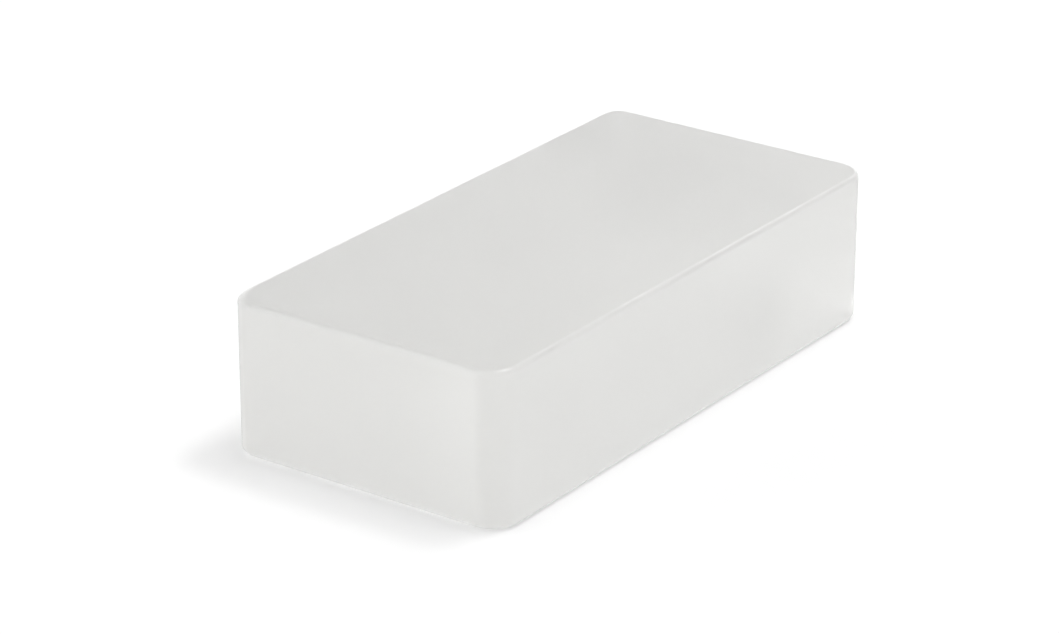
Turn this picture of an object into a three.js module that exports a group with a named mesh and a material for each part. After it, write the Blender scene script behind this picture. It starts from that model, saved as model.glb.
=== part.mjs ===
// A solid glass block, lying flat on its bed face: one piece of cast glass with level faces,
// turned corners and eased edges.
// Millimetres, +Z up. The length runs along X and the origin is the middle of the lower bed face.

import * as THREE from "three";

// Overall size of the block.
const blockLength = 200; // along X
const blockWidth = 98; // along Y
const blockHeight = 49.5; // along Z

// Plan radius of each upright corner. They were ground by hand, so no two are quite alike.
const rightCornerRadius = 10.5; // +X, -Y
const farCornerRadius = 6; // +X, +Y
const leftCornerRadius = 8; // -X, +Y
const nearCornerRadius = 9.5; // -X, -Y

// The left corner is worn rounder on top, up to this plan radius of the upper bed face's outline.
const wornCornerRadius = 14;

// Easing of the edges of the bed faces.
const topEdgeRadius = 1.6; // fillet round the upper bed face
const bottomEdgeRadius = 2.5; // fillet round the lower bed face
const leastTurn = 0.5; // plan radius that a fillet leaves at the corners of a bed face

// Fineness of the curved surfaces.
const cornerSteps = 6; // half the facets of each upright corner
const edgeSteps = 4; // half the facets of each fillet

// Surface finish.
const glassColour = 0xe2e2e0; // nearly white, and hardly warm
const glassRoughness = 0.5; // satin, as cast glass is after etching
const glassMetalness = 0;

// A fillet turns round every upright corner, so it stays smaller than the tightest of them.
const tightestCorner = Math.min(rightCornerRadius, farCornerRadius, leftCornerRadius, nearCornerRadius);
const topFillet = Math.min(topEdgeRadius, tightestCorner - leastTurn);
const bottomFillet = Math.min(bottomEdgeRadius, tightestCorner - leastTurn);

// Section through the rim of the block, from the lower bed face up the side to the upper bed face.
// x is how far the section lies in from the side face, and y is the height.
function rimSection() {
  const section = new THREE.Path();
  section.absarc(bottomFillet, bottomFillet, bottomFillet, 1.5 * Math.PI, Math.PI, true);
  section.absarc(topFillet, blockHeight - topFillet, topFillet, Math.PI, 0.5 * Math.PI, true);
  return section.getPoints(edgeSteps);
}

// How far a point of the rim section has come on to the upper bed face: 0 on the side, 1 on the face.
function shareOnTop(point) {
  return point.y > blockHeight - topFillet ? point.x / topFillet : 0;
}

// Plan of the block at one point of its rim section. Each corner arc is drawn in with the fillet,
// which turns round it as a part of a torus, and the worn one opens out as it reaches the top.
function planOutline(point) {
  const inset = point.x;
  const halfLength = blockLength / 2 - inset;
  const halfWidth = blockWidth / 2 - inset;
  const quarter = Math.PI / 2;
  const outline = new THREE.Shape();
  const turnCorner = (towardX, towardY, radius, start) => {
    const arcX = towardX * (halfLength - radius);
    const arcY = towardY * (halfWidth - radius);
    outline.absarc(arcX, arcY, radius, start, start + quarter);
  };

  const leftRadius = leftCornerRadius - inset;
  const wear = Math.max(wornCornerRadius - leftRadius, 0) * shareOnTop(point);
  turnCorner(1, -1, rightCornerRadius - inset, -quarter);
  turnCorner(1, 1, farCornerRadius - inset, 0);
  turnCorner(-1, 1, leftRadius + wear, quarter);
  turnCorner(-1, -1, nearCornerRadius - inset, 2 * quarter);
  return outline.getPoints(cornerSteps);
}

// Closed solid through a stack of level outlines, lowest first, each with as many points.
function loftGeometry(outlines, heights) {
  const perRing = outlines[0].length;
  const positions = outlines.flatMap((outline, level) =>
    outline.flatMap((point) => [point.x, point.y, heights[level]]),
  );

  const triangles = [];
  for (let level = 0; level + 1 < outlines.length; level++) {
    for (let i = 0; i < perRing; i++) {
      const here = level * perRing + i;
      const beside = level * perRing + ((i + 1) % perRing);
      triangles.push(here, beside, beside + perRing);
      triangles.push(here, beside + perRing, here + perRing);
    }
  }

  const topRing = (outlines.length - 1) * perRing;
  for (const [a, b, c] of THREE.ShapeUtils.triangulateShape(outlines[0], [])) {
    triangles.push(a, c, b); // the lower bed face looks down
  }
  for (const [a, b, c] of THREE.ShapeUtils.triangulateShape(outlines.at(-1), [])) {
    triangles.push(topRing + a, topRing + b, topRing + c);
  }

  const geometry = new THREE.BufferGeometry();
  geometry.setAttribute("position", new THREE.Float32BufferAttribute(positions, 3));
  geometry.setIndex(triangles);
  geometry.computeVertexNormals();
  return geometry;
}

function frostedGlass() {
  return new THREE.MeshStandardMaterial({
    name: "frosted_glass",
    color: glassColour,
    roughness: glassRoughness,
    metalness: glassMetalness,
  });
}

function makeGlassBlock() {
  const section = rimSection();
  const outlines = section.map(planOutline);
  const heights = section.map((point) => point.y);
  const block = new THREE.Mesh(loftGeometry(outlines, heights), frostedGlass());
  block.name = "glass_block";
  return block;
}

const group = new THREE.Group();
group.add(makeGlassBlock());

export default group;
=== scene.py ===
"""A solid satin glass block, the plain studio round it and the camera that looks at it.

Everything is in metres, on the frame's own axes: the block's length runs along X, its width along Y,
and it stands on the floor at Z = 0.
"""

import logging
import math
from dataclasses import dataclass, field
from enum import Enum

import bmesh
import bpy
from mathutils import Matrix, Vector


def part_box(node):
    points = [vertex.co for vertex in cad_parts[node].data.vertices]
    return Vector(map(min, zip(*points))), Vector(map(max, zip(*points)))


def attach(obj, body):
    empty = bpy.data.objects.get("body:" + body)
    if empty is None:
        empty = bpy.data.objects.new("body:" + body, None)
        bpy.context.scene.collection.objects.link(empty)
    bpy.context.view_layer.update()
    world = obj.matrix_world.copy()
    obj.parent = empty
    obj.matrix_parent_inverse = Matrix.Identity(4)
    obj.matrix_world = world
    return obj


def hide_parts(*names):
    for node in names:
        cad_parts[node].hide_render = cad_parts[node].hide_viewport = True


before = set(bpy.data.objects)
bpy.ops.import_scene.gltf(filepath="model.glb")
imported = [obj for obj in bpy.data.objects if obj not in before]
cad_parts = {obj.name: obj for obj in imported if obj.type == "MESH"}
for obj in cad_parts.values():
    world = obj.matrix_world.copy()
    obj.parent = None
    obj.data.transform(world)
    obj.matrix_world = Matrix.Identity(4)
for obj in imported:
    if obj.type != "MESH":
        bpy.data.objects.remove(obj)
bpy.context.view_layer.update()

MILLIMETRE = 0.001
UP = Vector((0.0, 0.0, 1.0))
WHITE = 1.0
QUARTER_TURN_DEG = 90.0
GLASS_BOUNCES = 24
GLOSS_BOUNCES = 16

log = logging.getLogger("glass_block")


def new_material(name: str) -> tuple[bpy.types.Material, bpy.types.NodeTree]:
    """Make an empty node material.

    Args:
        name: The material's name.

    Returns:
        The material and its node tree, with no nodes in it.
    """
    material = bpy.data.materials.new(name)
    material.use_nodes = True
    material.node_tree.nodes.clear()
    return material, material.node_tree


def reckon(tree: bpy.types.NodeTree, operation: str, first: bpy.types.NodeSocket,
           second: bpy.types.NodeSocket | float) -> bpy.types.NodeSocket:
    """Work one sum in the node tree.

    Args:
        tree: The node tree to work in.
        operation: The math node's name for the sum.
        first: One value.
        second: The other value, a socket or a plain number.

    Returns:
        The socket that gives the result.
    """
    node = tree.nodes.new("ShaderNodeMath")
    node.operation = operation
    tree.links.new(first, node.inputs[0])
    if isinstance(second, bpy.types.NodeSocket):
        tree.links.new(second, node.inputs[1])
    else:
        node.inputs[1].default_value = second
    return node.outputs["Value"]


def remap(tree: bpy.types.NodeTree, value: bpy.types.NodeSocket, from_max: float = 1.0,
          to_min: float = 0.0, to_max: float = 1.0) -> bpy.types.NodeSocket:
    """Spread a value that starts at 0 over another range.

    Args:
        tree: The node tree to work in.
        value: The value to spread.
        from_max: The value that gives to_max. Higher ones give it too.
        to_min: What 0 gives.
        to_max: The other end of the new range.

    Returns:
        The socket that gives the result.
    """
    node = tree.nodes.new("ShaderNodeMapRange")
    node.inputs["From Max"].default_value = from_max
    node.inputs["To Min"].default_value = to_min
    node.inputs["To Max"].default_value = to_max
    tree.links.new(value, node.inputs["Value"])
    return node.outputs["Result"]


def speckle(tree: bpy.types.NodeTree, place: bpy.types.NodeSocket, size: float,
            detail: float) -> bpy.types.NodeSocket:
    """Make an even noise that fills the glass.

    Args:
        tree: The node tree to work in.
        place: The point to look the noise up at.
        size: How large its largest spots are.
        detail: How many finer layers lie over them.

    Returns:
        The socket that gives the noise, 0 to 1.
    """
    node = tree.nodes.new("ShaderNodeTexNoise")
    node.inputs["Scale"].default_value = 1.0 / size
    node.inputs["Detail"].default_value = detail
    tree.links.new(place, node.inputs["Vector"])
    return node.outputs["Fac"]


def direction(azimuth_deg: float, elevation_deg: float) -> Vector:
    """Unit vector towards a place round the block.

    Args:
        azimuth_deg: 0 on the -Y side, 90 on the +X side.
        elevation_deg: Height above the floor's level.

    Returns:
        The unit vector from the block towards that place.
    """
    azimuth, elevation = math.radians(azimuth_deg), math.radians(elevation_deg)
    level = math.cos(elevation)
    return Vector((math.sin(azimuth) * level, -math.cos(azimuth) * level, math.sin(elevation)))


@dataclass(frozen=True)
class SatinGlass:
    """Clear glass with a satin surface: light passes, but no image does.

    The eased edges are made smoother and glossier than the faces. They are found by their slant: with u
    the square of the normal's height, u ** steepness - u ** (steepness + 1) is 0 on level and upright
    faces and highest close to level ones. From the full slant up, the glass counts as worn.
    """

    name: str = "satin_glass"
    colour: tuple[float, float, float] = (0.992, 0.99, 0.978)
    roughness: float = 0.45
    roughness_spread: float = 0.04
    cloud_size: float = 45.0 * MILLIMETRE
    cloud_detail: float = 3.0
    grain_size: float = 0.4 * MILLIMETRE
    grain_detail: float = 2.0
    grain_height: float = 0.0025 * MILLIMETRE
    edge_roughness: float = 0.278
    steepness: float = 8.0
    full_slant: float = 0.02
    refraction_index: float = 1.52
    depth_colour: tuple[float, float, float] = (0.95, 0.95, 0.90)
    depth_density: float = 0.5

    def worn_share(self, tree: bpy.types.NodeTree) -> bpy.types.NodeSocket:
        """Find the worn edges.

        Args:
            tree: The node tree to work in.

        Returns:
            The socket that gives 0 on the faces and 1 on the worn band of the edges.
        """
        surface = tree.nodes.new("ShaderNodeNewGeometry")
        facing = tree.nodes.new("ShaderNodeSeparateXYZ")
        tree.links.new(surface.outputs["Normal"], facing.inputs["Vector"])
        upward = reckon(tree, "MULTIPLY", facing.outputs["Z"], facing.outputs["Z"])
        slant = reckon(tree, "SUBTRACT", reckon(tree, "POWER", upward, self.steepness),
                       reckon(tree, "POWER", upward, self.steepness + 1.0))
        return remap(tree, slant, from_max=self.full_slant)

    def material(self) -> bpy.types.Material:
        """Return the glass as a node material."""
        material, tree = new_material(self.name)
        place = tree.nodes.new("ShaderNodeTexCoord").outputs["Object"]
        glass = tree.nodes.new("ShaderNodeBsdfPrincipled")
        depth = tree.nodes.new("ShaderNodeVolumeAbsorption")
        output = tree.nodes.new("ShaderNodeOutputMaterial")

        glass.inputs["Base Color"].default_value = (*self.colour, 1.0)
        glass.inputs["IOR"].default_value = self.refraction_index
        glass.inputs["Transmission Weight"].default_value = 1.0
        glass.inputs["Coat Roughness"].default_value = self.edge_roughness
        depth.inputs["Color"].default_value = (*self.depth_colour, 1.0)
        depth.inputs["Density"].default_value = self.depth_density

        worn = self.worn_share(tree)
        clouds = speckle(tree, place, self.cloud_size, self.cloud_detail)
        satin = remap(tree, clouds, to_min=self.roughness - self.roughness_spread,
                      to_max=self.roughness + self.roughness_spread)
        roughness = tree.nodes.new("ShaderNodeMix")
        roughness.inputs["B"].default_value = self.edge_roughness
        relief = tree.nodes.new("ShaderNodeBump")
        relief.inputs["Distance"].default_value = self.grain_height

        link = tree.links.new
        link(worn, roughness.inputs["Factor"])
        link(satin, roughness.inputs["A"])
        link(roughness.outputs["Result"], glass.inputs["Roughness"])
        link(worn, glass.inputs["Coat Weight"])
        link(speckle(tree, place, self.grain_size, self.grain_detail), relief.inputs["Height"])
        link(relief.outputs["Normal"], glass.inputs["Normal"])
        link(glass.outputs["BSDF"], output.inputs["Surface"])
        link(depth.outputs["Volume"], output.inputs["Volume"])
        return material


@dataclass(frozen=True)
class StudioPaper:
    """Pale paper on the floor, which keeps the block's shadow and looks white round it.

    It glows a little for gloss and glass to see, and by the lift more for the camera. Close under the
    block's eased edge, the glow that reflections and the camera see is dimmed by ambient occlusion: painted
    shade that makes a contact shadow in the paper's glow.
    """

    name: str = "studio_paper"
    colour: tuple[float, float, float] = (0.70, 0.70, 0.70)
    glow: float = 0.195
    lift: float = 0.158
    # Painted shade near the block: how far the ambient occlusion looks, how deeply it darkens the glow, and
    # how many rays it casts.
    contact_shade_reach: float = 8.0 * MILLIMETRE
    contact_shade_depth: float = 0.4
    contact_shade_rays: int = 4

    def material(self) -> bpy.types.Material:
        """Return the paper as a node material."""
        material, tree = new_material(self.name)
        paper = tree.nodes.new("ShaderNodeBsdfDiffuse")
        shine = tree.nodes.new("ShaderNodeEmission")
        both = tree.nodes.new("ShaderNodeAddShader")
        rays = tree.nodes.new("ShaderNodeLightPath")
        contact_shade = tree.nodes.new("ShaderNodeAmbientOcclusion")
        output = tree.nodes.new("ShaderNodeOutputMaterial")

        paper.inputs["Color"].default_value = (*self.colour, 1.0)
        contact_shade.inputs["Distance"].default_value = self.contact_shade_reach
        contact_shade.samples = self.contact_shade_rays
        # Painted shade: the glow is darker where the block is close, a contact shadow made by ambient
        # occlusion.
        unshaded_share = remap(tree, contact_shade.outputs["AO"], to_min=1.0 - self.contact_shade_depth)
        through = rays.outputs["Is Transmission Ray"]
        mirrored = reckon(tree, "SUBTRACT", rays.outputs["Is Glossy Ray"], through)
        direct = reckon(tree, "ADD", reckon(tree, "MULTIPLY", mirrored, self.glow),
                        reckon(tree, "MULTIPLY", rays.outputs["Is Camera Ray"], self.glow + self.lift))
        level = reckon(tree, "ADD", reckon(tree, "MULTIPLY", direct, unshaded_share),
                       reckon(tree, "MULTIPLY", through, self.glow))

        link = tree.links.new
        link(level, shine.inputs["Strength"])
        link(paper.outputs["BSDF"], both.inputs[0])
        link(shine.outputs["Emission"], both.inputs[1])
        link(both.outputs["Shader"], output.inputs["Surface"])
        material.cycles.emission_sampling = "NONE"
        return material


@dataclass(frozen=True)
class StudioWalls:
    """Even light from all round: pale walls under a dim ceiling. The camera itself sees plain white."""

    name: str = "studio_walls"
    horizon: float = 1.86
    ceiling: float = 0.12

    def build(self) -> bpy.types.World:
        """Make the world and give it to the scene."""
        world = bpy.data.worlds.new(self.name)
        world.use_nodes = True
        tree = world.node_tree
        tree.nodes.clear()
        place = tree.nodes.new("ShaderNodeTexCoord")
        split = tree.nodes.new("ShaderNodeSeparateXYZ")
        rays = tree.nodes.new("ShaderNodeLightPath")
        level = tree.nodes.new("ShaderNodeMix")
        glow = tree.nodes.new("ShaderNodeBackground")
        output = tree.nodes.new("ShaderNodeOutputWorld")

        level.inputs["B"].default_value = WHITE

        link = tree.links.new
        link(place.outputs["Generated"], split.inputs["Vector"])
        link(rays.outputs["Is Camera Ray"], level.inputs["Factor"])
        link(remap(tree, split.outputs["Z"], to_min=self.horizon, to_max=self.ceiling), level.inputs["A"])
        link(level.outputs["Result"], glow.inputs["Strength"])
        link(glow.outputs["Background"], output.inputs["Surface"])
        bpy.context.scene.world = world
        return world


class Corner(Enum):
    """An upright corner of the block, by the ends of the length and the width that meet there."""

    RIGHT = (1, -1)
    FAR = (1, 1)
    LEFT = (-1, 1)
    NEAR = (-1, -1)


@dataclass(frozen=True)
class Rounding:
    """How an upright corner is rounded off, as radii in plan.

    The upright radius holds up the side. The worn radius is that of the upper bed face's outline,
    where wear has made it larger than the edge fillet alone would.
    """

    upright_radius: float
    worn_radius: float = 0.0

    def radius(self, inset: float, share: float) -> float:
        """Plan radius of an outline.

        Args:
            inset: How far the outline lies inside the side faces.
            share: 0 on the side face, 1 on the upper bed face.

        Returns:
            The radius of the corner's arc.
        """
        plain = self.upright_radius - inset
        return plain + max(self.worn_radius - plain, 0.0) * share


@dataclass
class GlassBlock:
    """The block itself, one closed mesh with turned corners and eased edges.

    The overall size comes from the frame's box.
    """

    low: Vector
    high: Vector
    finish: SatinGlass = field(default_factory=SatinGlass)
    corners: dict[Corner, Rounding] = field(default_factory=lambda: {
        Corner.RIGHT: Rounding(10.5 * MILLIMETRE),
        Corner.FAR: Rounding(6.0 * MILLIMETRE),
        Corner.LEFT: Rounding(8.0 * MILLIMETRE, 14.0 * MILLIMETRE),
        Corner.NEAR: Rounding(9.5 * MILLIMETRE),
    })
    top_edge_radius: float = 1.6 * MILLIMETRE
    bottom_edge_radius: float = 2.5 * MILLIMETRE
    corner_steps: int = 24
    edge_steps: int = 14

    def rim_section(self) -> list[tuple[float, float, float]]:
        """Section of the rim, from the lower bed face to the upper one.

        Returns:
            A list of (inset from the side face, height, share of the way on to the upper bed face).
        """
        section = []
        for radius, middle, start_deg in (
            (self.bottom_edge_radius, self.low.z + self.bottom_edge_radius, -QUARTER_TURN_DEG),
            (self.top_edge_radius, self.high.z - self.top_edge_radius, 0.0),
        ):
            for step in range(self.edge_steps + 1):
                turn = math.radians(start_deg + QUARTER_TURN_DEG * step / self.edge_steps)
                inset = radius * (1.0 - math.cos(turn))
                on_top = 1.0 - math.cos(turn) if turn > 0.0 else 0.0
                section.append((inset, middle + radius * math.sin(turn), on_top))
        return section

    def plan(self, inset: float, on_top: float) -> list[Vector]:
        """Plan outline of the block, drawn in by an inset.

        Args:
            inset: How far the outline lies inside the side faces.
            on_top: Share of the way from the side faces on to the upper bed face.

        Returns:
            The points, going round anticlockwise as seen from above.
        """
        outline = []
        middle = (self.low + self.high) / 2.0
        half = (self.high - self.low) / 2.0
        for quarter, (corner, rounding) in enumerate(self.corners.items()):
            radius = rounding.radius(inset, on_top)
            along, across = corner.value
            centre = Vector((along * (half.x - inset - radius), across * (half.y - inset - radius), 0.0))
            for step in range(self.corner_steps + 1):
                turn = math.radians(QUARTER_TURN_DEG * (quarter - 1 + step / self.corner_steps))
                outline.append(middle + centre + Vector((math.cos(turn), math.sin(turn), 0.0)) * radius)
        return outline

    def mesh(self) -> bpy.types.Mesh:
        """Build the closed surface, smooth all round.

        Returns:
            The mesh, with normals weighted by area, which keeps the level and upright faces flat.
        """
        built = bmesh.new()
        rings = []
        for inset, height, on_top in self.rim_section():
            rings.append([built.verts.new((point.x, point.y, height)) for point in self.plan(inset, on_top)])
        for lower, upper in zip(rings, rings[1:]):
            for i, here in enumerate(lower):
                beside = (i + 1) % len(lower)
                built.faces.new((here, lower[beside], upper[beside], upper[i]))
        built.faces.new(reversed(rings[0]))
        built.faces.new(rings[-1])
        for face in built.faces:
            face.smooth = True
        built.normal_update()
        normals = [sum((face.normal * face.calc_area() for face in vert.link_faces), Vector()).normalized()
                   for vert in built.verts]
        mesh = bpy.data.meshes.new("glass_block_surface")
        built.to_mesh(mesh)
        built.free()
        mesh.normals_split_custom_set_from_vertices(normals)
        return mesh

    def build(self) -> bpy.types.Object:
        """Make the block's object, dress it and put it in the frame.

        Returns:
            The finished object.
        """
        block = bpy.data.objects.new("frosted_block", self.mesh())
        bpy.context.scene.collection.objects.link(block)
        block.data.materials.append(self.finish.material())
        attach(block, "root")
        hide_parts("glass_block")
        log.info("%s: %d faces", block.name, len(block.data.polygons))
        return block


class LampFront(Enum):
    """The outline of a lamp's bright front, by Blender's name for it."""

    ROUND = "ELLIPSE"
    PANEL = "RECTANGLE"


@dataclass(frozen=True)
class SoftLamp:
    """A softbox that faces the block.

    Its brightness is the level that its front shows, where 1 is white paper.
    """

    name: str
    front: LampFront
    azimuth_deg: float
    elevation_deg: float
    width: float
    height: float
    brightness: float
    distance: float = 3.0

    def power(self) -> float:
        """Return the watts that give the front its brightness."""
        area = self.width * self.height
        if self.front is LampFront.ROUND:
            area *= math.pi / 4.0
        return self.brightness * area * math.pi

    def build(self, aim: Vector) -> bpy.types.Object:
        """Place the lamp.

        Args:
            aim: The point that the lamp faces.

        Returns:
            The lamp's object.
        """
        data = bpy.data.lights.new(self.name, "AREA")
        data.shape = self.front.value
        data.size = self.width
        data.size_y = self.height
        data.energy = self.power()
        lamp = bpy.data.objects.new(self.name, data)
        back = direction(self.azimuth_deg, self.elevation_deg)
        lamp.location = aim + back * self.distance
        lamp.rotation_euler = back.to_track_quat("Z", "Y").to_euler()
        bpy.context.scene.collection.objects.link(lamp)
        return lamp


@dataclass
class Studio:
    """Paper floor, soft lamps and pale walls."""

    floor_drop: float = 0.02 * MILLIMETRE
    floor_reach: float = 4.0
    paper: StudioPaper = field(default_factory=StudioPaper)
    walls: StudioWalls = field(default_factory=StudioWalls)
    lamps: tuple[SoftLamp, ...] = (
        SoftLamp("key_lamp", LampFront.PANEL, azimuth_deg=48.0, elevation_deg=71.0,
                 width=1.30, height=0.60, brightness=9.3),
        SoftLamp("key_core", LampFront.ROUND, azimuth_deg=62.0, elevation_deg=69.0,
                 width=0.60, height=0.60, brightness=9.9),
        SoftLamp("key_end", LampFront.ROUND, azimuth_deg=0.0, elevation_deg=75.0,
                 width=0.60, height=0.60, brightness=3.2),
        SoftLamp("window_lamp", LampFront.PANEL, azimuth_deg=208.0, elevation_deg=18.0,
                 width=3.90, height=2.10, brightness=0.92),
        SoftLamp("edge_lamp", LampFront.ROUND, azimuth_deg=106.0, elevation_deg=36.0,
                 width=0.92, height=0.92, brightness=2.1),
    )

    def build_floor(self) -> bpy.types.Object:
        """Lay the paper under the block."""
        mesh = bpy.data.meshes.new("studio_floor")
        reach = self.floor_reach
        corners = [(-reach, -reach, 0.0), (reach, -reach, 0.0), (reach, reach, 0.0), (-reach, reach, 0.0)]
        mesh.from_pydata(corners, [], [(0, 1, 2, 3)])
        mesh.materials.append(self.paper.material())
        floor = bpy.data.objects.new("studio_floor", mesh)
        floor.location.z = -self.floor_drop
        bpy.context.scene.collection.objects.link(floor)
        return floor

    def build(self, aim: Vector) -> None:
        """Make the whole studio.

        Args:
            aim: The point that the lamps face.
        """
        self.build_floor()
        self.walls.build()
        for lamp in self.lamps:
            lamp.build(aim)
        log.info("studio: %d lamps", len(self.lamps))


@dataclass(frozen=True)
class ViewCamera:
    """A long lens that looks down on one end and one long side of the block.

    The shifts move the aim off the block's middle, to the right and up as the camera sees them.
    """

    azimuth_deg: float = -54.69
    elevation_deg: float = 22.951
    roll_deg: float = 0.125
    distance: float = 1.169
    shift_right: float = -0.00983
    shift_up: float = -0.00465
    aim_height: float = 0.026
    lens_mm: float = 130.3
    sensor_width_mm: float = 36.0

    def build(self) -> bpy.types.Object:
        """Place the camera and make it the scene's own."""
        data = bpy.data.cameras.new("view_camera")
        data.sensor_fit = "HORIZONTAL"
        data.sensor_width = self.sensor_width_mm
        data.lens = self.lens_mm
        camera = bpy.data.objects.new("view_camera", data)
        back = direction(self.azimuth_deg, self.elevation_deg)
        right = UP.cross(back).normalized()
        up = back.cross(right)
        aim = UP * self.aim_height + right * self.shift_right + up * self.shift_up
        turn = Matrix((right, up, back)).transposed() @ Matrix.Rotation(math.radians(self.roll_deg), 3, "Z")
        camera.matrix_world = Matrix.Translation(aim + back * self.distance) @ turn.to_4x4()
        bpy.context.scene.collection.objects.link(camera)
        bpy.context.scene.camera = camera
        return camera


def set_render_quality() -> None:
    """Ask for the plain view transform and enough bounces for light inside thick glass."""
    scene = bpy.context.scene
    scene.view_settings.view_transform = "Standard"
    scene.cycles.max_bounces = GLASS_BOUNCES
    scene.cycles.transmission_bounces = GLASS_BOUNCES
    scene.cycles.glossy_bounces = GLOSS_BOUNCES
    scene.cycles.use_denoising = True


def main() -> None:
    """Build the block, its studio and its camera."""
    logging.basicConfig(level=logging.INFO)
    low, high = (Vector(corner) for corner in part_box("glass_block"))
    GlassBlock(low, high).build()
    Studio().build((low + high) / 2.0)
    ViewCamera().build()
    set_render_quality()


if __name__ == "__main__":
    main()
